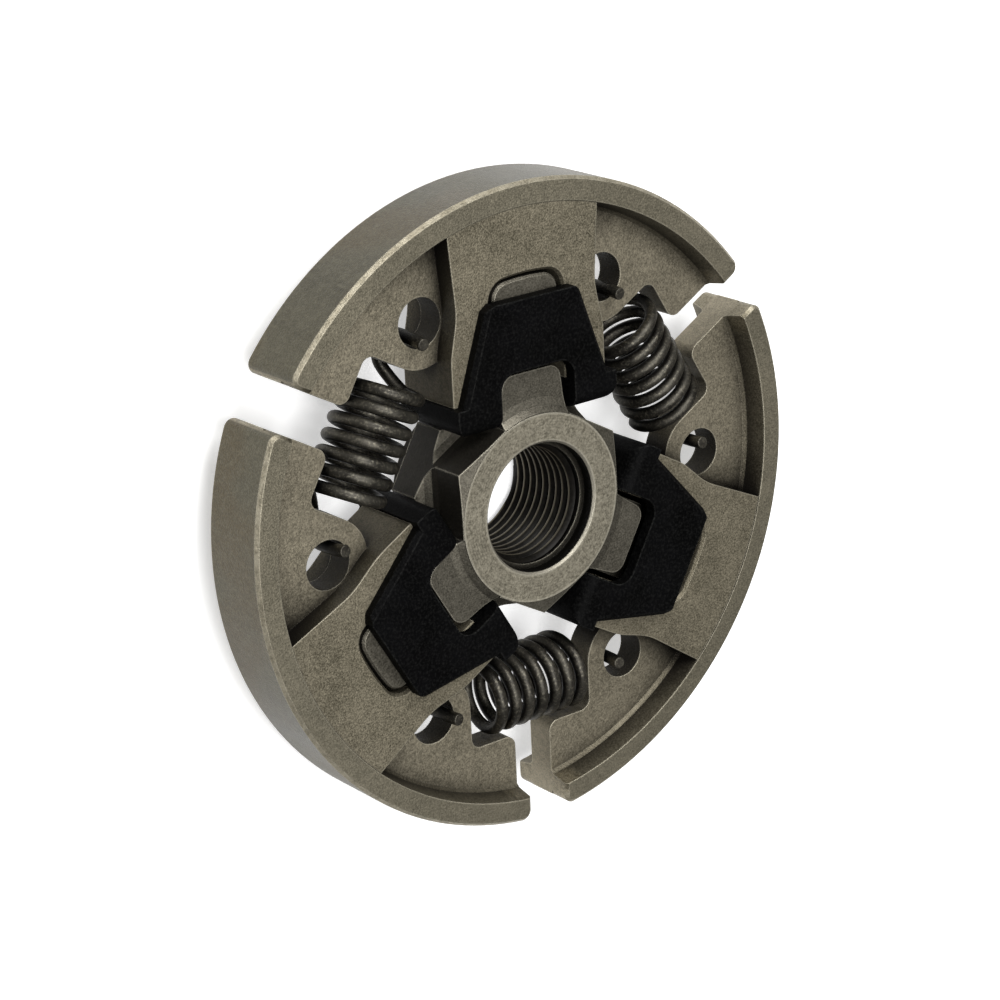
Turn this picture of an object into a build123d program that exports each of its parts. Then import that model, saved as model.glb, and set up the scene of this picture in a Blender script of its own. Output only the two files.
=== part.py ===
"""Three-shoe centrifugal clutch for a chainsaw crankshaft.

Frame: millimetres, +Z along the crankshaft axis, hex side up, origin where the
axis meets the flat rear face of the hub. Shoe 1 points along +Y, the others
follow every 120 degrees as seen from the front.
"""
import os
from math import cos, sin, pi, radians, sqrt

from build123d import *

os.makedirs("parts", exist_ok=True)

# Driving dimensions, all in millimetres

# levels along the axis
HUB_LENGTH = 12.2          # rear face of the hub to its front face
THROUGH = 3 * HUB_LENGTH   # length of cuts that go right through
RIM_FRONT = 11.4           # front face of the shoe rims
RIM_WIDTH = 7.85           # width of the friction face
MID = RIM_FRONT - RIM_WIDTH / 2
BOSS_STEP = 0.12           # the boss lies this much below the rim face
WEB_THICK = 3.1            # thin web between rim and boss
CLIP_FRONT = 12.55         # front face of the plastic clips
CLIP_BACK = 2 * MID - CLIP_FRONT

# carrier
HEX_FLATS = 19.0           # spanner size of the hub
HUB_CHAMFER_R = 9.42       # circle where the hub face ends
HUB_CHAMFER_DROP = 0.35    # the chamfer falls this much by the corners of the hexagon
BORE_R = 6.0               # M12 x 1 thread, major radius
COUNTERBORE_R = 6.48
COUNTERBORE_DEPTH = 1.5
COLLAR_R = 9.2             # round collar behind the arms
BODY_BACK = 3.35           # rear face of arms and lower body
BODY_SHELF = 7.05          # shelf of the lower body, in front of it only the hex
BODY_FLAT = 11.05          # axis to the flats that face the gaps
BODY_SIDE = 8.55           # axis to the sides that face the clips
ROOT_R = 1.5               # concave root between hexagon and shelf
ARM_HALF = 3.9
ARM_FRONT = 11.4           # front of the neck next to the hub
ARM_START = 4.0            # arms are drawn from inside the hub
NECK_END = 13.65
NECK_TIP = 3.45            # half width of the neck at its end
NECK_ROUND = 1.4
RAMP_TOP = 0.1             # the neck's ramp ends this far behind the hub face
RAMP_END = 10.9            # where the ramp runs out on the neck
SHANK_STEP = 2.3           # recess of the shank under the clip
HEAD_START = 19.6
HEAD_END = 22.85
HEAD_FRONT = 11.12
HEAD_ROUND = 1.7
ARM_BACK = 2 * MID - HEAD_FRONT

# shoes
SHOE_R = 33.7              # radius of the friction face
SHOE_SHIFT = 1.64          # centre of that radius lies inward of the axis at rest
RIM_THICK = 2.35
RIM_DRAFT = 0.5            # the inner wall of the rim leans inward by this much
RIM_ROOT = 0.33            # small slope where that wall meets the web
WORN = 0.33                # rubbed edges of the friction face
GAP_HALF = 2.2             # half the gap between two shoes
HORN_Y = 24.2              # horn edge, measured along the gap direction
NOTCH_X = 7.5              # notch for the coil of the spring
HOLE_X, HOLE_Y, HOLE_R = 12.0, 19.6, 2.45
LOBE_R = 4.5
BOSS_END = 11.9
BOSS_WAIST, BOSS_WAIST_Y = 8.3, 20.6
BOSS_WIDE, BOSS_WIDE_Y = 9.2, 16.6
BOSS_TOP = 31.0            # the boss runs into the rim here
BOSS_ROUND = 2 * (BOSS_WAIST_Y - BOSS_WIDE_Y)
SLOT_HALF = 4.4
SLOT_END = HEAD_END + 0.35
SLOT_ROUND = 2.0
SLOT_LEAD = 0.25

# plastic clips
CLIP_OUT = 21.2
CLIP_OUT_HALF = 5.5
CLIP_WIDE = 8.75
CLIP_IN = 9.0
CLIP_FOOT_HALF = 9.6
FOOT_EDGE = 1.4            # softened outer edges of the foot
NOTCH_HALF = 4.45
NOTCH_END = 14.25

# springs
SPRING_Y = 19.6            # distance of the coil axis from the clutch axis
COIL_R = 3.46              # mean radius of the coil
WIRE_R = 0.62
PITCH = 1.68
COIL_END = 1190.0          # degrees of winding on either side of the middle
COIL_STEP = 52.0           # degrees from one bend of the drawn wire to the next
HOOK_ROOM = 0.25           # wire to the wall of its hole
CROSS_ROOM = 0.68          # wire to the rear of the web where it crosses
HOOK_END = 3.3             # cut end of the hook, in front of the middle plane


def gap_point(x, y, side=1):
    """Point given along and across the gap beside the shoe, in the shoe's plane frame."""
    a = (-0.5 * x + 0.8660254 * y, 0.8660254 * x + 0.5 * y)
    return (a[0] * side, a[1])


def slab(sketch, low, high):
    """Straight solid over a plane sketch between two levels."""
    return Pos(0, 0, low) * extrude(sketch, high - low)


def mirror_points(half):
    """Closed outline from points of the right half, top to bottom."""
    return half + [(-x, y) for x, y in reversed(half) if abs(x) > 1e-9]


def outline(points):
    return make_face(Polyline(*[(x, y) for x, y in points], close=True))


def round_corners(face, spots, radius):
    """Round the corners of a plane face that lie at the given spots."""
    picked = [v for v in face.vertices()
              if any((v.X - x) ** 2 + (v.Y - y) ** 2 < 0.01 for x, y in spots)]
    return fillet(picked, radius) if picked else face


def both(spots):
    return [(s * x, y) for x, y in spots for s in (1, -1)]


def crowned(half, low, high, corner):
    """Strip whose far end is an arc about the clutch axis, with rounded corners."""
    strip = Pos(0, (low + high + 1.0) / 2) * Rectangle(2 * half, high + 1.0 - low)
    strip = strip & Circle(high)
    return fillet([v for v in strip.vertices() if v.Y > (low + high) / 2], corner)


def edges_at(solid, level, test, tol=1e-3):
    """Edges that lie flat at a level and whose middle point passes a test."""
    found = []
    for e in solid.edges():
        box = e.bounding_box()
        if abs(box.min.Z - level) < tol and abs(box.max.Z - level) < tol:
            c = e.position_at(0.5)
            if test(c):
                found.append(e)
    return found


# shoe, drawn pointing along +Y

def shoe():
    disc = Pos(0, -SHOE_SHIFT) * Circle(SHOE_R)
    wall_foot = SHOE_R - RIM_THICK - RIM_DRAFT
    hollow = Pos(0, -SHOE_SHIFT) * Circle(wall_foot - RIM_ROOT)
    end_out = gap_point(GAP_HALF, 40.0)
    end_in = gap_point(GAP_HALF, HORN_Y)
    sector = outline(mirror_points([(0, 60), end_out, end_in, (0, 5)]))

    # full-width rim
    rim = (disc - hollow) & sector
    tips = []
    for v in rim.vertices():
        if abs(sqrt(v.X ** 2 + (v.Y + SHOE_SHIFT) ** 2) - SHOE_R) < 0.01:
            tips.append((v.X, v.Y))
    rim = round_corners(rim, tips, 1.0)
    rim_solid = slab(rim, RIM_FRONT - RIM_WIDTH, RIM_FRONT)

    # its inner wall leans and ends in a small slope at the web, on both faces
    web_front = MID + WEB_THICK / 2
    pocket = make_face(Polyline(
        (wall_foot - RIM_ROOT - 3, web_front), (wall_foot - RIM_ROOT, web_front),
        (wall_foot, web_front + RIM_ROOT), (SHOE_R - RIM_THICK, RIM_FRONT),
        (SHOE_R - RIM_THICK, RIM_FRONT + 1), (wall_foot - RIM_ROOT - 3, RIM_FRONT + 1), close=True))
    pocket = Pos(0, -SHOE_SHIFT, 0) * revolve(Plane.XZ * pocket, Axis.Z)
    rim_solid = rim_solid - pocket - Pos(0, 0, MID) * mirror(Pos(0, 0, -MID) * pocket, Plane.XY)

    # thin web with the horns, the notches for the coils and the lobes round the holes
    lobe = gap_point(HOLE_X, HOLE_Y)
    web = outline(mirror_points([
        (0, 60), end_out, end_in, gap_point(NOTCH_X, HORN_Y),
        gap_point(NOTCH_X, HOLE_Y), lobe, (0, lobe[1] - 1.0)]))
    web = round_corners(web, both([gap_point(NOTCH_X, HORN_Y)]), 1.1)
    web = round_corners(web, both([end_in]), 1.1)
    web = web & (Pos(0, -SHOE_SHIFT) * Circle(SHOE_R - 0.6))
    web = web + Pos(*lobe) * Circle(LOBE_R) + Pos(-lobe[0], lobe[1]) * Circle(LOBE_R)
    web_solid = slab(web, MID - WEB_THICK / 2, MID + WEB_THICK / 2)

    # boss that carries the slot for the arm
    boss = outline(mirror_points([
        (0, BOSS_TOP), (BOSS_WIDE, BOSS_TOP), (BOSS_WAIST, BOSS_WAIST_Y),
        (BOSS_WIDE, BOSS_WIDE_Y), (BOSS_WIDE, BOSS_END), (0, BOSS_END)]))
    boss = round_corners(boss, both([(BOSS_WAIST, BOSS_WAIST_Y), (BOSS_WIDE, BOSS_WIDE_Y)]),
                         BOSS_ROUND)
    boss = boss & (Pos(0, -SHOE_SHIFT) * Circle(SHOE_R - RIM_THICK + 0.4))
    boss_solid = slab(boss, 2 * MID - RIM_FRONT + BOSS_STEP, RIM_FRONT - BOSS_STEP)

    body = rim_solid + web_solid + boss_solid

    # slot for the arm, open toward the hub, with a small lead at both faces
    slot = crowned(SLOT_HALF, ARM_START, SLOT_END, SLOT_ROUND)
    body = body - slab(slot, 0, THROUGH)
    lead = []
    for level in (2 * MID - RIM_FRONT + BOSS_STEP, RIM_FRONT - BOSS_STEP):
        lead += edges_at(body, level, lambda c: abs(c.X) < SLOT_HALF + 0.01
                         and BOSS_END + 0.3 < c.Y < SLOT_END + 0.1)
    body = chamfer(lead, SLOT_LEAD)

    # holes for the spring hooks
    for s in (1, -1):
        body = body - Pos(s * lobe[0], lobe[1], MID) * Cylinder(HOLE_R, 2 * RIM_WIDTH)

    # worn edges of the friction face
    worn = [e for e in edges_at(body, RIM_FRONT, lambda c: sqrt(
                c.X ** 2 + (c.Y + SHOE_SHIFT) ** 2) > SHOE_R - 0.3)
            if e.length > 20]
    worn += [e for e in edges_at(body, RIM_FRONT - RIM_WIDTH, lambda c: sqrt(
                c.X ** 2 + (c.Y + SHOE_SHIFT) ** 2) > SHOE_R - 0.3)
             if e.length > 20]
    body = chamfer(worn, WORN)
    return body


# plastic clip that holds the shoe on the arm

def clip():
    # two plates over the boss, with narrow bevels along their sides
    plate = outline(mirror_points([
        (0, CLIP_OUT), (CLIP_OUT_HALF, CLIP_OUT), (CLIP_WIDE, BOSS_END), (0, BOSS_END)]))
    plate = chamfer([v for v in plate.vertices() if v.Y > CLIP_OUT - 0.1], 0.6)
    plates = slab(plate, CLIP_BACK, CLIP_FRONT)
    for level in (CLIP_BACK, CLIP_FRONT):
        sides = edges_at(plates, level, lambda c: abs(c.X) > 5.6 and 12.6 < c.Y < 20.4)
        plates = chamfer(sides, 0.4)
    room = Pos(0, BOSS_END + 10, MID) * Box(30, 20, RIM_WIDTH - 2 * BOSS_STEP)
    plates = plates - room

    # foot at the hub side, as deep as both plates together, its edges softened by
    # the meeting of a plan, a side and an end profile
    foot = outline(mirror_points([
        (0, BOSS_END), (CLIP_FOOT_HALF, BOSS_END), (CLIP_FOOT_HALF, CLIP_IN), (0, CLIP_IN)]))
    foot = round_corners(foot, both([(CLIP_FOOT_HALF, CLIP_IN)]), 1.7)
    depth = CLIP_FRONT - CLIP_BACK
    side = Pos(BOSS_END, MID) * RectangleRounded(2 * (BOSS_END - CLIP_IN), depth, FOOT_EDGE)
    end = Pos(0, MID) * RectangleRounded(2 * CLIP_FOOT_HALF, depth, FOOT_EDGE)
    block = slab(foot, CLIP_BACK, CLIP_FRONT)
    block = block & (Pos(-15, 0, 0) * extrude(Plane.YZ * side, 30))
    block = block & (Pos(0, 20, 0) * extrude(Plane.XZ * end, 20))
    body = plates + block

    # the notch for the neck of the arm
    notch = outline(mirror_points([
        (0, NOTCH_END), (NOTCH_HALF, NOTCH_END), (NOTCH_HALF, ARM_START), (0, ARM_START)]))
    notch = round_corners(notch, both([(NOTCH_HALF, NOTCH_END)]), 1.7)
    body = body - slab(notch, 0, THROUGH)
    return body


# carrier: hub, lower body, collar and the three arms

def carrier():
    hex_r = HEX_FLATS / sqrt(3)
    hexagon = RegularPolygon(hex_r, 6, rotation=90)
    hub = slab(hexagon, BODY_BACK, HUB_LENGTH)
    # chamfer of the hexagon as a flat cone round the front face
    drop = 2 * HUB_CHAMFER_DROP
    cone = Pos(0, 0, HUB_LENGTH - drop / 2) * Cone(
        2 * hex_r - HUB_CHAMFER_R, HUB_CHAMFER_R, drop)
    keep = cone + Pos(0, 0, (HUB_LENGTH - drop) / 2) * Cylinder(30, HUB_LENGTH - drop)
    hub = hub & keep

    # lower body with flats toward the gaps and sides toward the clips; the hexagon
    # runs out on its shelf in a concave root
    def wall(angle, reach):
        high = BODY_SHELF + ROOT_R
        return Rot(0, 0, angle) * (Pos(reach - 30, 0, (BODY_BACK + high) / 2)
                                   * Box(60, 80, high - BODY_BACK))
    prism = wall(30, BODY_FLAT)
    for a in (150, 270):
        prism = prism & wall(a, BODY_FLAT)
    for a in (90, 210, 330):
        prism = prism & wall(a, BODY_SIDE)
    steps = [(BODY_SHELF, ROOT_R)]
    for a in (30, 60):
        steps.append((BODY_SHELF + ROOT_R * (1 - cos(radians(a))),
                      ROOT_R * (1 - sin(radians(a)))))
    steps.append((BODY_SHELF + ROOT_R, 0.0))
    stack = Pos(0, 0, (BODY_BACK + BODY_SHELF) / 2) * Box(60, 60, BODY_SHELF - BODY_BACK)
    for (z0, o0), (z1, o1) in zip(steps, steps[1:]):
        low = Pos(0, 0, z0) * RegularPolygon((HEX_FLATS / 2 + o0) * 2 / sqrt(3), 6, rotation=90)
        top = Pos(0, 0, z1) * RegularPolygon((HEX_FLATS / 2 + o1) * 2 / sqrt(3), 6, rotation=90)
        stack = stack + loft([low.face(), top.face()], ruled=True)
    body = prism & stack
    collar = Pos(0, 0, (BODY_BACK + 0.5) / 2) * Cylinder(COLLAR_R, BODY_BACK + 0.5)
    solid = hub + body + collar

    # arms
    neck = outline(mirror_points([
        (0, NECK_END), (NECK_TIP, NECK_END), (ARM_HALF, HUB_CHAMFER_R), (ARM_HALF, ARM_START),
        (0, ARM_START)]))
    neck = round_corners(neck, both([(NECK_TIP, NECK_END)]), NECK_ROUND)
    # the front of the neck rises to the hub in a shallow concave ramp
    rise = HUB_LENGTH - RAMP_TOP
    run = RAMP_END - HUB_CHAMFER_R
    ramp = make_face(Polyline(
        (ARM_START, BODY_BACK), (RAMP_END + 5, BODY_BACK), (RAMP_END + 5, ARM_FRONT),
        (RAMP_END, ARM_FRONT), (RAMP_END - 0.6 * run, ARM_FRONT + 0.3 * (rise - ARM_FRONT)),
        (HUB_CHAMFER_R, rise), (ARM_START, rise), close=True))
    ramp = revolve(Plane.XZ * ramp, Axis.Z)
    arm = slab(neck, ARM_BACK, rise) & ramp
    # the corners of the hexagon over the arms are cut down to that ramp
    above = make_face(Polyline(
        (HUB_CHAMFER_R, HUB_LENGTH + 1), (HUB_CHAMFER_R, rise),
        (RAMP_END - 0.6 * run, ARM_FRONT + 0.3 * (rise - ARM_FRONT)), (RAMP_END, ARM_FRONT),
        (RAMP_END + 1, ARM_FRONT), (RAMP_END + 1, HUB_LENGTH + 1), close=True))
    corner_cut = revolve(Plane.XZ * above, Axis.Z) & slab(
        Pos(0, 10) * Rectangle(2 * ARM_HALF, 10), ARM_FRONT - 1, HUB_LENGTH + 1)
    shank = Rectangle(2 * ARM_HALF, HEAD_START - ARM_START + 1.0)
    arm += Pos(0, (HEAD_START + 1.0 + ARM_START) / 2, 0) * slab(
        shank, ARM_BACK + SHANK_STEP, HEAD_FRONT - SHANK_STEP)
    head = crowned(ARM_HALF, HEAD_START, HEAD_END, HEAD_ROUND)
    tip = slab(head, ARM_BACK, HEAD_FRONT)
    tip = chamfer(edges_at(tip, HEAD_FRONT, lambda c: c.Y > HEAD_START + 0.1), 0.2)
    arm += tip
    bore = Pos(0, 0, HUB_LENGTH / 2) * Cylinder(9.0, HUB_LENGTH + 4)
    for a in (0, 120, 240):
        solid = solid - Rot(0, 0, a) * corner_cut
    for a in (0, 120, 240):
        solid = solid + Rot(0, 0, a) * (arm - bore)

    # bore, counterbore and lead edges
    solid = solid - Pos(0, 0, HUB_LENGTH / 2) * Cylinder(BORE_R, HUB_LENGTH + 4)
    solid = solid - Pos(0, 0, HUB_LENGTH - COUNTERBORE_DEPTH / 2) * Cylinder(
        COUNTERBORE_R, COUNTERBORE_DEPTH)
    mouth = edges_at(solid, HUB_LENGTH, lambda c: abs(
        sqrt(c.X ** 2 + c.Y ** 2) - COUNTERBORE_R) < 0.05)
    solid = chamfer(mouth, 0.2)
    tail = edges_at(solid, 0.0, lambda c: True)
    solid = chamfer([e for e in tail if e.length > 2 * pi * BORE_R + 1], 0.4)
    tail = edges_at(solid, 0.0, lambda c: sqrt(c.X ** 2 + c.Y ** 2) < BORE_R + 0.1)
    solid = chamfer(tail, 0.2)
    return solid


# tension spring: coil and two hooks, drawn with the gap direction along +Y

def spring_path():
    """Points of the wire from the hook on the -X side to the hook on the +X side."""
    coil = []
    count = int(round(2 * COIL_END / COIL_STEP))
    for i in range(count + 1):
        t = -COIL_END + 2 * COIL_END * i / count
        a = radians(90 + t)
        coil.append((PITCH * t / 360.0, COIL_R * cos(a), COIL_R * sin(a)))
    # the wire leaves the coil, crosses behind the web and rises through the hole
    x, y, _ = coil[-1]
    hook = HOLE_X - HOLE_R + WIRE_R + HOOK_ROOM
    side = HOLE_Y - SPRING_Y
    cross = WEB_THICK / 2 + WIRE_R + CROSS_ROOM
    tail = [
        (x + 0.36 * (hook - x), side + 0.26 * (y - side), -cross - 0.16 * WIRE_R),
        (x + 0.65 * (hook - x), side, -cross),
        (hook - 0.9 * WIRE_R, side, -cross + WIRE_R),
        (hook, side, -cross + 2.8 * WIRE_R),
        (hook, side, 0.8 * WIRE_R),
        (hook - 0.1 * WIRE_R, side, 3.2 * WIRE_R),
        (hook - 0.4 * WIRE_R, side, HOOK_END)]
    head = [(-x, -y, z) for x, y, z in reversed(tail)]
    return head + coil + tail


def spring():
    """Six-sided wire swept round the coil and both hooks with mitred bends."""
    path = Polyline(*[Vector(x, y + SPRING_Y, z + MID) for x, y, z in spring_path()])
    start = Plane(origin=path @ 0, z_dir=path % 0)
    return sweep(start * RegularPolygon(WIRE_R * 1.06, 6), path=path,
                 transition=Transition.RIGHT)


def main():
    one_shoe, one_clip, one_spring = shoe(), clip(), spring()
    export_step(carrier(), "parts/carrier.step")
    for i in range(3):
        turn = Rot(0, 0, 120 * i)
        export_step(turn * one_shoe, "parts/shoe_%d.step" % (i + 1))
        export_step(turn * one_clip, "parts/retainer_%d.step" % (i + 1))
        export_step(Rot(0, 0, 60 + 120 * i) * one_spring, "parts/spring_%d.step" % (i + 1))


main()
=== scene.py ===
"""Looks of a three-shoe chainsaw clutch, lying flat on its rear collar.

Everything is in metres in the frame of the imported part: +Z along the crankshaft
axis, hex side up, first shoe toward +Y.
"""
import math

import bmesh
import bpy
from mathutils import Matrix, Vector


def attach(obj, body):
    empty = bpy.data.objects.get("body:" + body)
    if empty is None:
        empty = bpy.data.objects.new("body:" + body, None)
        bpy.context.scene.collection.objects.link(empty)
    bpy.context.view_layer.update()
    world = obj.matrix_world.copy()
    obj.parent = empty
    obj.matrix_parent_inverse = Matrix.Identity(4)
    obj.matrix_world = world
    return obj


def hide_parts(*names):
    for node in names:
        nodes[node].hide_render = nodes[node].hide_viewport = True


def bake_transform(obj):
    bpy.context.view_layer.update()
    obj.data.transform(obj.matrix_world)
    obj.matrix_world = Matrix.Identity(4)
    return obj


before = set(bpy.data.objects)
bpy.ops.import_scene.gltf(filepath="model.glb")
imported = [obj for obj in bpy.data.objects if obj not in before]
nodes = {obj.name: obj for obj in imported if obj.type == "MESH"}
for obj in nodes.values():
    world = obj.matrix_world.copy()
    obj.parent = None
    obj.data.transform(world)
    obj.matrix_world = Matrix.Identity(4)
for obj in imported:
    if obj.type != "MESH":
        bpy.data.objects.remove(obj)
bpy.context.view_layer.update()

MM = 0.001

# Sizes shared with the solids, in millimetres
MID = 7.475            # middle plane of the shoes
SPRING_Y = 19.6        # coil axis to clutch axis
COIL_R = 3.46          # to the middle of the wire
WIRE_R = 0.62
PITCH = 1.68
COIL_END = 1190.0      # degrees of coil from its middle to each end
HOOK_X = 10.42         # hook in its hole, from the middle of the coil
CROSS_Z = 2.85         # wire behind the web, below the middle plane
HOOK_END = 3.3         # tip of the hook, above the middle plane
BORE_R = 6.0
THREAD_PITCH = 1.0
THREAD_DEPTH = 0.54
THREAD_FROM, THREAD_TO = 0.05, 10.6

# Steps of the round wires and of the thread
COIL_STEP = 7          # degrees
BEND_STEPS = 6
WIRE_SIDES = 14
THREAD_STEPS = 72      # a turn
# Height of a thread row in pitches, and its share of the full depth
THREAD_FORM = ((-0.44, 0.0), (-0.07, 1.0), (0.07, 1.0), (0.44, 0.0))

# Places on the shoes in metres. Each pair runs from where a tone starts to where it is full
FRICTION_R = (0.0305, 0.0310)
RIM_FACE_R, RIM_FACE_Z = (0.0293, 0.0297), (0.01130, 0.01136)
WEB_FRONT, WEB_REAR = (0.0094, 0.0092), (0.0056, 0.0058)
SLOPE_R = (0.0311, 0.0308)
WORN_AND_HIGHLIGHT_R = (0.0312, 0.0315)
SHOE_END_R = (0.0225, 0.0235)

# Places on the hub, the same way
HUB_FACE_Z = (0.01195, 0.01215)
OUTER_LIP_R, INNER_LIP_R = (0.00915, 0.00932), (0.00690, 0.00674)
MOUTH_R, MOUTH_Z = (0.00695, 0.00685), (0.0115, 0.0116)
BORE_WALL_R = (0.0068, 0.0066)
CREST_R = (0.00554, 0.00549)

# Noise values between which a mottle runs from one tone to the other
MOTTLE = (0.3, 0.7)

FLOOR_GLOW = 0.50      # how much whiter the table looks than the lamps make it
TABLE_HALF = 3.0       # metres
DAYLIGHT, DAYLIGHT_STRENGTH = (0.80, 0.80, 0.79, 1.0), 0.22
LAMP_POWER = 5.6       # watts
LAMPS_LOOK_AT = (0, 0, 0.006)
LENS, SENSOR = 105.245, 36.0
CAMERA_AT = (-0.16352, 0.09420, 0.22135)
CAMERA_RIGHT = (0.786247, -0.046161, 0.616184)
CAMERA_UP = (0.238824, 0.942412, -0.234138)
CAMERA_BACK = (-0.569890, 0.331251, 0.751995)


# Node helpers

class Nodes:
    """Small builder for a material's node tree."""

    def __init__(self, name):
        self.material = bpy.data.materials.new(name)
        self.material.use_nodes = True
        self.tree = self.material.node_tree
        self.tree.nodes.clear()
        self.output = self.add("ShaderNodeOutputMaterial")
        self.shader = self.add("ShaderNodeBsdfPrincipled")
        self.link(self.shader.outputs[0], self.output.inputs[0])
        self.place = self.add("ShaderNodeTexCoord").outputs["Object"]

    def add(self, kind, **settings):
        node = self.tree.nodes.new(kind)
        for key, value in settings.items():
            setattr(node, key, value)
        return node

    def link(self, a, b):
        self.tree.links.new(a, b)

    def put(self, value, socket):
        if hasattr(value, "is_output"):
            self.link(value, socket)
        else:
            socket.default_value = value

    def math(self, operation, a, b=0.0, clamp=False):
        node = self.add("ShaderNodeMath", operation=operation, use_clamp=clamp)
        self.put(a, node.inputs[0])
        self.put(b, node.inputs[1])
        return node.outputs[0]

    def noise(self, scale, detail=4.0, rough=0.55, at=None):
        """Noise value about 0.5; the scale is in features a metre."""
        node = self.add("ShaderNodeTexNoise")
        self.link(at or self.place, node.inputs["Vector"])
        node.inputs["Scale"].default_value = scale
        node.inputs["Detail"].default_value = detail
        node.inputs["Roughness"].default_value = rough
        return node.outputs["Fac"]

    def cells(self, scale):
        """Distance to the nearest point of a scattered pattern."""
        node = self.add("ShaderNodeTexVoronoi")
        self.link(self.place, node.inputs["Vector"])
        node.inputs["Scale"].default_value = scale
        return node.outputs["Distance"]

    def span(self, value, low, high, to_low=0.0, to_high=1.0):
        """Clamped straight line: to_low at low, to_high at high."""
        node = self.add("ShaderNodeMapRange")
        self.put(value, node.inputs["Value"])
        for key, number in (("From Min", low), ("From Max", high),
                            ("To Min", to_low), ("To Max", to_high)):
            node.inputs[key].default_value = number
        return node.outputs[0]

    def mix(self, share, a, b, blend="MIX"):
        node = self.add("ShaderNodeMix", data_type="RGBA", blend_type=blend)
        self.put(share, node.inputs[0])
        for value, socket in ((a, node.inputs[6]), (b, node.inputs[7])):
            if isinstance(value, tuple):
                socket.default_value = (*value, 1.0)
            else:
                self.put(value, socket)
        return node.outputs[2]

    def bump(self, height, distance, strength=1.0, under=None):
        node = self.add("ShaderNodeBump")
        self.put(height, node.inputs["Height"])
        node.inputs["Distance"].default_value = distance
        node.inputs["Strength"].default_value = strength
        if under is not None:
            self.link(under, node.inputs["Normal"])
        return node.outputs[0]

    def soft_edge(self, radius):
        node = self.add("ShaderNodeBevel", samples=4)
        node.inputs["Radius"].default_value = radius
        return node.outputs[0]

    def parts(self, vector):
        node = self.add("ShaderNodeSeparateXYZ")
        self.link(vector, node.inputs[0])
        return node.outputs

    def radius(self):
        """Distance from the clutch axis."""
        x, y, _ = self.parts(self.place)
        return self.math("SQRT", self.math("ADD", self.math("MULTIPLY", x, x),
                                           self.math("MULTIPLY", y, y)))

    def stretched(self, x, y, z):
        """Place with each axis scaled, which draws a pattern out along the small ones."""
        node = self.add("ShaderNodeVectorMath", operation="MULTIPLY")
        self.link(self.place, node.inputs[0])
        node.inputs[1].default_value = (x, y, z)
        return node.outputs[0]

    def shelter(self, reach, low, high, alone=True):
        """0 in deep corners, 1 in the open; alone counts only the piece's own corners."""
        node = self.add("ShaderNodeAmbientOcclusion", samples=8, only_local=alone)
        node.inputs["Distance"].default_value = reach
        return self.span(node.outputs["AO"], low, high)

    def edges(self, radius):
        """Two masks: the line along each edge, and the narrow band beside that line."""
        node = self.add("ShaderNodeVectorMath", operation="DOT_PRODUCT")
        self.link(self.soft_edge(radius), node.inputs[0])
        self.link(self.add("ShaderNodeNewGeometry").outputs["Normal"], node.inputs[1])
        turned = node.outputs["Value"]
        line = self.span(turned, 0.955, 0.82)
        beside = self.math("MULTIPLY", self.span(turned, 0.998, 0.985),
                           self.span(turned, 0.93, 0.96))
        return line, beside

    def facing_up(self):
        node = self.add("ShaderNodeNewGeometry")
        return self.parts(node.outputs["True Normal"])[2]

    def gap_ends(self, radius):
        """1 on the shoes' end faces, beside the three gaps between them."""
        x, y, _ = self.parts(self.place)
        thrice = self.math("MULTIPLY", self.math("ARCTAN2", y, x), 3.0)
        near = self.span(self.math("SINE", thrice), 0.90, 0.94)
        return self.math("MULTIPLY", near, self.span(radius, *SHOE_END_R))

    def round_the_axis(self, radius):
        """1 on walls that face toward the axis or away from it, 0 on walls across the rim."""
        node = self.add("ShaderNodeVectorMath", operation="DOT_PRODUCT")
        self.link(self.place, node.inputs[0])
        self.link(self.add("ShaderNodeNewGeometry").outputs["True Normal"], node.inputs[1])
        along = self.math("ABSOLUTE", node.outputs["Value"])
        return self.span(self.math("DIVIDE", along, radius), 0.55, 0.75)

    def wall(self):
        """1 on faces that stand along the axis, 0 on level ones."""
        return self.span(self.math("ABSOLUTE", self.facing_up()), 0.75, 0.35)


# Materials

def sintered_steel(name, dark, light, rough=(0.42, 0.58), grain=1.0):
    """Pressed and sintered steel: grainy warm grey with a few pores; settle() later paints shade
    into its corners.
    """
    n = Nodes(name)
    broad = n.noise(150.0, 3.0)
    blotch = n.noise(1300.0, 4.0, 0.65)
    fine = n.noise(5600.0, 2.0, 0.7)
    tone = n.math("ADD", n.span(broad, *MOTTLE, -0.20, 0.20),
                  n.span(blotch, *MOTTLE, -0.20, 0.20))
    tone = n.math("ADD", tone, n.span(fine, *MOTTLE, -0.50, 0.50))
    tone = n.math("ADD", tone, 0.5, clamp=True)
    colour = n.mix(tone, dark, light)
    pores = n.math("MULTIPLY", n.span(n.cells(1900.0), 0.20, 0.08),
                   n.span(n.noise(420.0, 1.0), 0.54, 0.60))
    colour = n.mix(n.math("MULTIPLY", pores, 0.7), colour, tuple(c * 0.25 for c in dark))
    n.put(n.span(fine, *MOTTLE, *rough), n.shader.inputs["Roughness"])
    n.shader.inputs["Metallic"].default_value = 0.85
    height = n.math("ADD", n.math("MULTIPLY", fine, 0.8), n.math("MULTIPLY", blotch, 0.5))
    normal = n.bump(height, 0.00005 * grain, 1.0, under=n.soft_edge(0.00012))
    n.put(normal, n.shader.inputs["Normal"])
    return n, colour, fine


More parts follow.
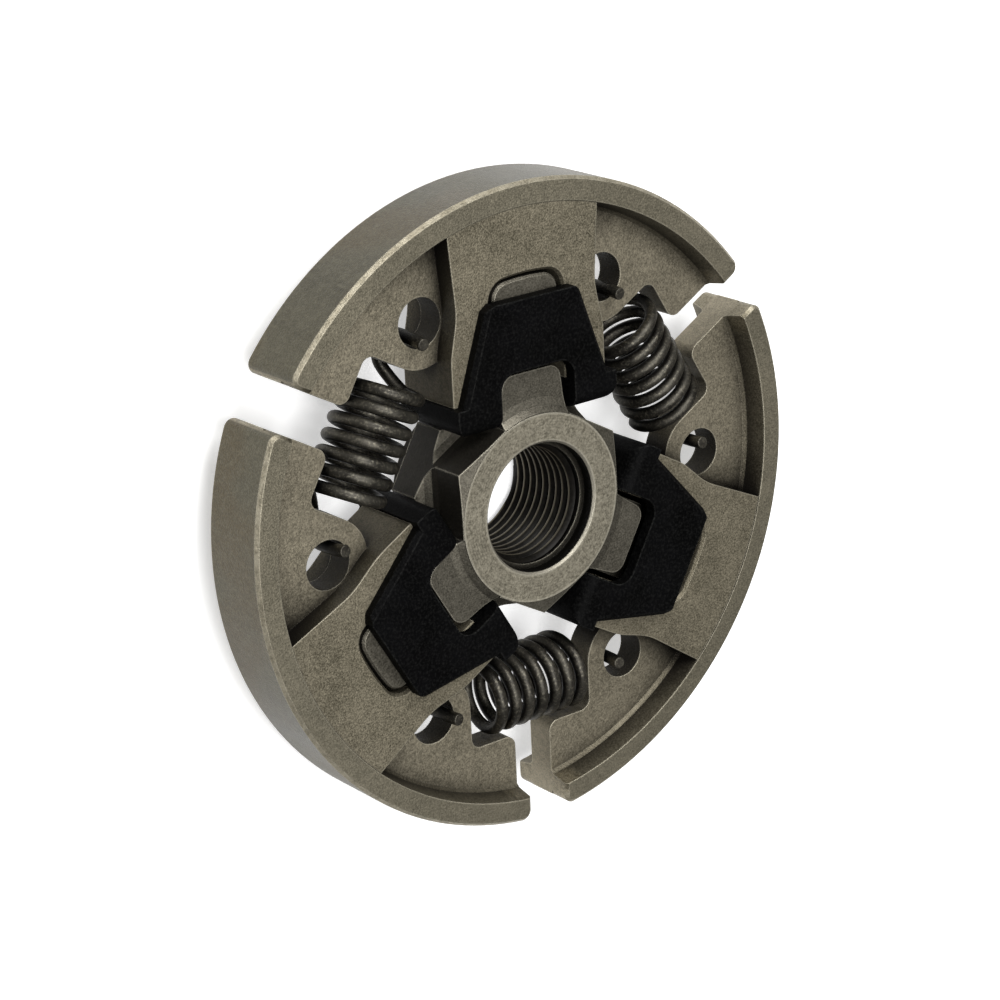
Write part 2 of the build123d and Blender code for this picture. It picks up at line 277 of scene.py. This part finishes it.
def settle(n, colour, worn_and_highlight, painted_shade, wear_and_highlight_share=0.85):
    """Sets the colour: open edges get a light line, partly wear and partly a painted highlight;
    painted shade lies beside the edges and in sheltered corners.
    """
    open_side = n.shelter(0.0022, 0.55, 0.95)
    line, beside = n.edges(0.00030)
    # painted shade: a dark band beside each edge
    colour = n.mix(n.math("MULTIPLY", beside, 0.40), colour, painted_shade)
    # a light line on open edges: partly wear, partly a painted highlight
    colour = n.mix(n.math("MULTIPLY", n.math("MULTIPLY", line, open_side), wear_and_highlight_share), colour, worn_and_highlight)
    # painted shade in the sheltered corners, from the occlusion mask
    colour = n.mix(n.shelter(0.0045, 0.44, 0.88), painted_shade, colour)
    n.put(colour, n.shader.inputs["Base Color"])


def shoe_material():
    n, colour, fine = sintered_steel("sintered shoe", (0.110, 0.098, 0.068), (0.315, 0.280, 0.205))
    radius = n.radius()
    level = n.math("ABSOLUTE", n.facing_up())
    outside = n.span(radius, *FRICTION_R)
    # the web is a little lighter than the boss, and the rim's front a little darker
    _, _, z = n.parts(n.place)
    web = n.math("MULTIPLY", n.span(z, *WEB_FRONT), n.span(z, *WEB_REAR))
    colour = n.mix(n.math("MULTIPLY", web, 0.16), colour, (0.42, 0.375, 0.29))
    front = n.math("MULTIPLY", n.span(radius, *RIM_FACE_R), n.span(level, 0.97, 0.99))
    front = n.math("MULTIPLY", front, n.span(z, *RIM_FACE_Z))
    colour = n.mix(n.math("MULTIPLY", front, 0.40), colour, (0.190, 0.177, 0.135))
    # walls round the slot, the holes and the web are painted near black as shade, darker still in
    # their corners
    painted_wall_shade = n.math("MULTIPLY", n.wall(), n.math("SUBTRACT", 1.0, outside))
    painted_wall_shade = n.math("MULTIPLY", painted_wall_shade, n.math("SUBTRACT", 1.0, n.gap_ends(radius)))
    deep = n.span(n.shelter(0.0055, 0.64, 0.96), 0.0, 1.0, 1.0, 0.66)
    painted_wall_shade = n.math("MULTIPLY", painted_wall_shade, n.math("MULTIPLY", deep, n.span(fine, *MOTTLE, 1.0, 0.90)))
    colour = n.mix(painted_wall_shade, colour, (0.012, 0.010, 0.006))
    # small slopes inside the rim, at the web's root and round the slot, are painted dark as shade
    slope = n.math("MULTIPLY", n.span(level, 0.97, 0.90), n.span(level, 0.30, 0.45))
    slope = n.math("MULTIPLY", slope, n.span(radius, *SLOPE_R))
    colour = n.mix(n.math("MULTIPLY", slope, 0.45), colour, (0.020, 0.017, 0.011))
    # the friction face is rubbed smooth, greyer, with faint bands across it
    rim = n.math("MULTIPLY", n.math("MULTIPLY", outside, n.span(level, 0.25, 0.15)),
                 n.round_the_axis(radius))
    bands = n.noise(110.0, 2.0, 0.5, at=n.stretched(1.0, 1.0, 0.08))
    streak = n.noise(1800.0, 4.0, 0.7, at=n.stretched(1.0, 1.0, 0.6))
    smooth = n.mix(n.span(bands, 0.35, 0.65), (0.049, 0.044, 0.028), (0.090, 0.082, 0.057))
    smooth = n.mix(n.span(n.noise(70.0, 2.0), 0.47, 0.55, 0.0, 0.75), smooth,
                   (0.080, 0.063, 0.037))
    smooth = n.mix(n.span(streak, 0.40, 0.70, 0.0, 0.55), smooth, (0.115, 0.106, 0.074))
    smooth = n.mix(n.span(fine, 0.60, 0.40, 0.0, 0.45), smooth, (0.020, 0.018, 0.013))
    colour = n.mix(rim, colour, smooth)
    # its worn chamfer along the front and the rear is painted light, partly wear and partly a
    # painted highlight
    bevel = n.math("MULTIPLY", n.span(radius, *WORN_AND_HIGHLIGHT_R),
                   n.math("MULTIPLY", n.span(level, 0.45, 0.60), n.span(level, 0.95, 0.85)))
    chips = n.span(n.noise(900.0, 4.0, 0.7), 0.40, 0.60, 0.15, 0.65)
    colour = n.mix(n.math("MULTIPLY", bevel, chips), colour, (0.42, 0.385, 0.30))
    # settle paints the edge line, partly wear and partly a painted highlight, weaker on the
    # slopes, and painted shade in the corners
    settle(n, colour, (0.50, 0.46, 0.36), (0.006, 0.005, 0.004),
           wear_and_highlight_share=n.span(slope, 0.0, 1.0, 0.85, 0.15))
    n.put(n.span(painted_wall_shade, 0.30, 0.75, 0.85, 0.05), n.shader.inputs["Metallic"])
    n.shader.inputs["Specular IOR Level"].default_value = 0.12
    blend = n.add("ShaderNodeMix", data_type="FLOAT")
    n.put(rim, blend.inputs[0])
    n.put(n.span(fine, *MOTTLE, 0.42, 0.58), blend.inputs[2])
    n.put(n.span(bands, *MOTTLE, 0.36, 0.48), blend.inputs[3])
    n.put(blend.outputs[0], n.shader.inputs["Roughness"])
    return n.material


def hub_material():
    n, colour, fine = sintered_steel("sintered hub", (0.070, 0.064, 0.050), (0.165, 0.152, 0.122),
                                     rough=(0.42, 0.56), grain=0.8)
    # the hub's standing walls, its hex flats among them, are painted near black as shade
    wall = n.wall()
    colour = n.mix(n.math("MULTIPLY", wall, 0.86), colour, (0.006, 0.005, 0.004))
    n.put(n.span(wall, 0.0, 1.0, 0.85, 0.35), n.shader.inputs["Metallic"])
    n.shader.inputs["Specular IOR Level"].default_value = 0.15
    # the turned front face is lighter, with faint rings
    _, _, z = n.parts(n.place)
    face = n.math("MULTIPLY", n.span(z, *HUB_FACE_Z), n.span(n.facing_up(), 0.985, 0.995))
    radius = n.radius()
    wobble = n.math("ADD", n.math("MULTIPLY", radius, 21000.0),
                    n.math("MULTIPLY", n.noise(500.0, 2.0), 9.0))
    rings = n.math("SINE", wobble)
    mottle = n.noise(2600.0, 3.0, 0.7)
    turned = n.mix(n.span(mottle, 0.34, 0.66), (0.165, 0.150, 0.112), (0.39, 0.358, 0.28))
    turned = n.mix(n.span(fine, 0.44, 0.66, 0.0, 0.5), turned, (0.47, 0.43, 0.335))
    turned = n.mix(n.math("MULTIPLY", n.span(rings, -1.0, 1.0, 0.0, 0.42),
                          n.span(n.noise(260.0, 2.0), 0.38, 0.62)), turned, (0.13, 0.118, 0.088))
    # light rings at the turned face's outer and inner edges: partly wear, partly a painted
    # highlight
    lip = n.math("MAXIMUM", n.span(radius, *OUTER_LIP_R), n.span(radius, *INNER_LIP_R))
    turned = n.mix(n.math("MULTIPLY", lip, 0.5), turned, (0.62, 0.58, 0.47))
    # the small slope into the counterbore is painted lighter
    mouth = n.math("MULTIPLY", n.span(radius, *MOUTH_R), n.span(z, *MOUTH_Z))
    mouth = n.math("MULTIPLY", mouth, n.span(n.facing_up(), 0.30, 0.45))
    colour = n.mix(n.math("MULTIPLY", mouth, 0.8), colour, (0.42, 0.39, 0.32))
    # the bore's wall, behind the thread's ridges and in the counterbore, is painted near black as
    # shade
    bore = n.math("MULTIPLY", n.span(radius, *BORE_WALL_R), wall)
    colour = n.mix(bore, colour, (0.002, 0.0017, 0.0012))
    # settle paints the edge line, partly wear and partly a painted highlight, and painted shade in
    # the corners
    settle(n, n.mix(face, colour, turned), (0.46, 0.43, 0.35), (0.003, 0.0026, 0.002))
    return n.material


def plastic_material():
    n = Nodes("black plastic")
    fine = n.noise(3600.0, 4.0, 0.75)
    broad = n.noise(240.0, 3.0, 0.55)
    tone = n.mix(n.span(broad, 0.35, 0.65), (0.0006, 0.0006, 0.0006), (0.0018, 0.0018, 0.0020))
    dust = n.span(fine, 0.48, 0.70, 0.0, 0.60)
    tone = n.mix(dust, tone, (0.011, 0.011, 0.0105))
    # light edges in the open: partly rubbed wear, partly a painted highlight
    rub_and_highlight = n.math("MULTIPLY", n.edges(0.00030)[0], n.shelter(0.0015, 0.6, 0.95))
    tone = n.mix(n.math("MULTIPLY", rub_and_highlight, n.span(fine, 0.40, 0.60, 0.1, 0.8)), tone,
                 (0.030, 0.030, 0.028))
    n.put(tone, n.shader.inputs["Base Color"])
    n.put(n.span(fine, *MOTTLE, 0.44, 0.62), n.shader.inputs["Roughness"])
    n.put(n.bump(fine, 0.00006, 0.8, under=n.soft_edge(0.00022)), n.shader.inputs["Normal"])
    n.shader.inputs["Specular IOR Level"].default_value = 0.03
    return n.material


def spring_material():
    n = Nodes("oil-dark spring steel")
    broad = n.noise(420.0, 3.0, 0.6)
    fine = n.noise(3800.0, 3.0, 0.6)
    tone = n.mix(n.span(broad, 0.35, 0.65), (0.022, 0.020, 0.016), (0.062, 0.057, 0.046))
    tone = n.mix(n.span(fine, 0.50, 0.70, 0.0, 0.7), tone, (0.15, 0.137, 0.105))
    # painted shade: near black where the coils and nearby parts shelter the wire
    tone = n.mix(n.shelter(0.0032, 0.40, 0.90, alone=False), (0.002, 0.0017, 0.0014), tone)
    n.put(tone, n.shader.inputs["Base Color"])
    n.shader.inputs["Metallic"].default_value = 0.8
    n.put(n.span(broad, *MOTTLE, 0.40, 0.54), n.shader.inputs["Roughness"])
    n.put(n.bump(fine, 0.00002, 0.4), n.shader.inputs["Normal"])
    return n.material


def thread_material():
    n = Nodes("cut thread")
    fine = n.noise(3000.0, 3.0, 0.6)
    # the flanks are painted near black as the bore's shade; the crests keep a lighter steel tone
    flank = n.mix(n.span(fine, *MOTTLE), (0.003, 0.0025, 0.002), (0.010, 0.009, 0.007))
    crest = n.span(n.radius(), *CREST_R, 0.0, 0.95)
    n.put(n.mix(crest, flank, (0.15, 0.134, 0.10)), n.shader.inputs["Base Color"])
    n.put(n.span(crest, 0.0, 0.95, 0.2, 0.85), n.shader.inputs["Metallic"])
    n.shader.inputs["Specular IOR Level"].default_value = 0.12
    n.put(n.span(fine, *MOTTLE, 0.40, 0.52), n.shader.inputs["Roughness"])
    n.put(n.bump(fine, 0.00002, 0.4), n.shader.inputs["Normal"])
    return n.material


def floor_material():
    n = Nodes("white table")
    soft = n.noise(6.0, 2.0)
    n.put(n.mix(n.span(soft, *MOTTLE), (0.78, 0.78, 0.78), (0.80, 0.80, 0.80)),
          n.shader.inputs["Base Color"])
    n.shader.inputs["Roughness"].default_value = 0.9
    n.shader.inputs["Specular IOR Level"].default_value = 0.1
    # white to the camera and in the metal, while the lamps alone light the object
    rays = n.add("ShaderNodeLightPath").outputs
    seen = n.math("MAXIMUM", rays["Is Camera Ray"],
                  n.math("MAXIMUM", rays["Is Glossy Ray"], rays["Is Transmission Ray"]))
    n.shader.inputs["Emission Color"].default_value = (1.0, 1.0, 1.0, 1.0)
    n.put(n.math("MULTIPLY", seen, FLOOR_GLOW), n.shader.inputs["Emission Strength"])
    return n.material


def dress(obj, material):
    obj.data.materials.clear()
    obj.data.materials.append(material)


def new_object(name, data):
    obj = bpy.data.objects.new(name, data)
    bpy.context.scene.collection.objects.link(obj)
    return obj


STEEL, HUB = shoe_material(), hub_material()
PLASTIC, WIRE, THREAD = plastic_material(), spring_material(), thread_material()

dress(nodes["carrier"], HUB)
for k in (1, 2, 3):
    dress(nodes["shoe_%d" % k], STEEL)
    dress(nodes["retainer_%d" % k], PLASTIC)
    dress(nodes["spring_%d" % k], WIRE)


# Springs

def smooth_run(points, steps):
    """Points on a smooth curve through the given ones, without the first and last."""
    out = []
    for a, b, c, d in zip(points, points[1:], points[2:], points[3:]):
        for i in range(steps):
            t = i / steps
            out.append(0.5 * (2 * b + (c - a) * t + (2 * a - 5 * b + 4 * c - d) * t * t
                              + (3 * b - a - 3 * c + d) * t ** 3))
    out.append(points[-2])
    return out


def coil_point(turned):
    """Point of the coil, in degrees from its middle, about the coil's own axis."""
    a = math.radians(90 + turned)
    return Vector((PITCH * turned / 360.0, COIL_R * math.cos(a), COIL_R * math.sin(a)))


def half_spring():
    """Middle line of the half toward +X: coil, crossing behind the web, hook in the hole.

    Its first point lies in the other half, to give the direction at the joint."""
    coil = [coil_point(t) for t in range(-COIL_STEP, int(COIL_END) + 1, COIL_STEP)]
    out = coil_point(COIL_END)
    tail = [Vector(p) for p in (
        (out.x + 0.36 * (HOOK_X - out.x), 0.26 * out.y, -CROSS_Z - 0.16 * WIRE_R),
        (out.x + 0.65 * (HOOK_X - out.x), 0.0, -CROSS_Z),
        (HOOK_X - 0.9 * WIRE_R, 0.0, -CROSS_Z + WIRE_R),
        (HOOK_X, 0.0, -CROSS_Z + 2.8 * WIRE_R),
        (HOOK_X, 0.0, 0.8 * WIRE_R),
        (HOOK_X - 0.1 * WIRE_R, 0.0, 3.2 * WIRE_R),
        (HOOK_X - 0.4 * WIRE_R, 0.0, HOOK_END))]
    bridge = [coil_point(COIL_END - 40), coil_point(COIL_END)] + tail + [
        tail[-1] * 2 - tail[-2]]
    return coil[:-1] + smooth_run(bridge, BEND_STEPS)


def tube(name, line, radius):
    """Round wire from the second point of a line, open there and rounded at its last."""
    mesh = bmesh.new()
    rings, normal = [], None
    for i, p in enumerate(line[1:], start=1):
        ahead = (line[min(i + 1, len(line) - 1)] - line[i - 1]).normalized()
        if normal is None:
            normal = ahead.orthogonal().normalized()
        normal = (normal - ahead * normal.dot(ahead)).normalized()
        side = ahead.cross(normal)
        rings.append((p, ahead, normal, side, radius))
    p, ahead, normal, side, _ = rings[-1]
    rings[-1] = (p - ahead * 0.14 * radius, ahead, normal, side, radius)
    rings.append((p - ahead * 0.02 * radius, ahead, normal, side, radius * 0.93))
    rings.append((p, ahead, normal, side, radius * 0.80))
    loops = []
    for p, _, normal, side, r in rings:
        loops.append([mesh.verts.new(p + r * (math.cos(a) * normal + math.sin(a) * side))
                      for a in (2 * math.pi * j / WIRE_SIDES for j in range(WIRE_SIDES))])
    for low, high in zip(loops, loops[1:]):
        for j in range(WIRE_SIDES):
            k = (j + 1) % WIRE_SIDES
            mesh.faces.new((low[j], low[k], high[k], high[j]))
    mesh.faces.new(loops[-1])
    data = bpy.data.meshes.new(name)
    mesh.to_mesh(data)
    mesh.free()
    for polygon in data.polygons:
        polygon.use_smooth = len(polygon.vertices) == 4
    return new_object(name, data)


def springs():
    """Each spring is two half wires that meet at the middle of the coil; each half ends in a hook
    in one of the two shoes."""
    half = half_spring()
    other = [Vector((-p.x, -p.y, p.z)) for p in half]
    for k, (plus, minus) in enumerate((("shoe_1", "shoe_2"), ("shoe_2", "shoe_3"),
                                       ("shoe_3", "shoe_1")), start=1):
        turn = Matrix.Rotation(math.radians(60 + 120 * (k - 1)), 4, "Z")
        for tag, line, shoe in (("a", half, plus), ("b", other, minus)):
            placed = [MM * (turn @ Vector((p.x, p.y + SPRING_Y, p.z + MID))) for p in line]
            piece = tube("spring_%d_%s" % (k, tag), placed, WIRE_R * MM)
            dress(piece, WIRE)
            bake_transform(piece)
            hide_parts("spring_%d" % k)


# Thread

def thread():
    """Left-hand ridge inside the bore, running out at both ends."""
    mesh = bmesh.new()
    turns = (THREAD_TO - THREAD_FROM) / THREAD_PITCH - 1.0
    total = int(THREAD_STEPS * turns)
    rows = []
    for i in range(total + 1):
        a = -2 * math.pi * i / THREAD_STEPS
        z = THREAD_FROM + 0.5 * THREAD_PITCH + THREAD_PITCH * i / THREAD_STEPS
        grown = min(1.0, i / (0.12 * THREAD_STEPS), (total - i) / (0.35 * THREAD_STEPS))
        depth = THREAD_DEPTH * grown
        row = []
        for dz, share in THREAD_FORM:
            r = BORE_R + 0.01 - share * depth
            row.append(mesh.verts.new((MM * r * math.cos(a), MM * r * math.sin(a),
                                       MM * (z + dz * THREAD_PITCH))))
        rows.append(row)
    for low, high in zip(rows, rows[1:]):
        for j in range(len(THREAD_FORM) - 1):
            mesh.faces.new((low[j], low[j + 1], high[j + 1], high[j]))
    bmesh.ops.recalc_face_normals(mesh, faces=mesh.faces)
    data = bpy.data.meshes.new("bore_thread")
    mesh.to_mesh(data)
    mesh.free()
    for polygon in data.polygons:
        polygon.use_smooth = True
    obj = new_object("bore_thread", data)
    dress(obj, THREAD)
    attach(obj, "carrier")


springs()
thread()


# Table, light and camera

def table():
    data = bpy.data.meshes.new("table")
    half = TABLE_HALF
    data.from_pydata([(-half, -half, 0), (half, -half, 0), (half, half, 0), (-half, half, 0)],
                     [], [(0, 1, 2, 3)])
    obj = new_object("table", data)
    dress(obj, floor_material())


def softbox(name, at, size, power):
    """White lamp that looks at the middle of the clutch."""
    data = bpy.data.lights.new(name, "AREA")
    data.shape = "RECTANGLE"
    data.size, data.size_y = size
    data.energy = power
    obj = new_object(name, data)
    obj.location = at
    aim = Vector(LAMPS_LOOK_AT) - Vector(at)
    obj.rotation_euler = aim.to_track_quat("-Z", "Y").to_euler()


def daylight():
    world = bpy.data.worlds.new("studio")
    bpy.context.scene.world = world
    world.use_nodes = True
    tree = world.node_tree
    tree.nodes.clear()
    out = tree.nodes.new("ShaderNodeOutputWorld")
    back = tree.nodes.new("ShaderNodeBackground")
    back.inputs["Color"].default_value = DAYLIGHT
    back.inputs["Strength"].default_value = DAYLIGHT_STRENGTH
    tree.links.new(back.outputs[0], out.inputs[0])


def camera():
    """The place from which the photo was taken, and its lens."""
    data = bpy.data.cameras.new("camera")
    obj = new_object("camera", data)
    data.sensor_width = SENSOR
    data.lens = LENS
    data.clip_start, data.clip_end = 0.01, 20.0
    turned = Matrix((CAMERA_RIGHT, CAMERA_UP, CAMERA_BACK)).transposed().to_4x4()
    obj.matrix_world = Matrix.Translation(CAMERA_AT) @ turned
    bpy.context.scene.camera = obj


table()
daylight()
softbox("key", (0.05, 0.56, 0.58), (0.40, 0.30), LAMP_POWER)
softbox("front", (-0.20, 0.04, 0.74), (0.45, 0.45), LAMP_POWER)
camera()
bpy.context.scene.view_settings.view_transform = "Standard"
bpy.context.scene.view_settings.look = "None"
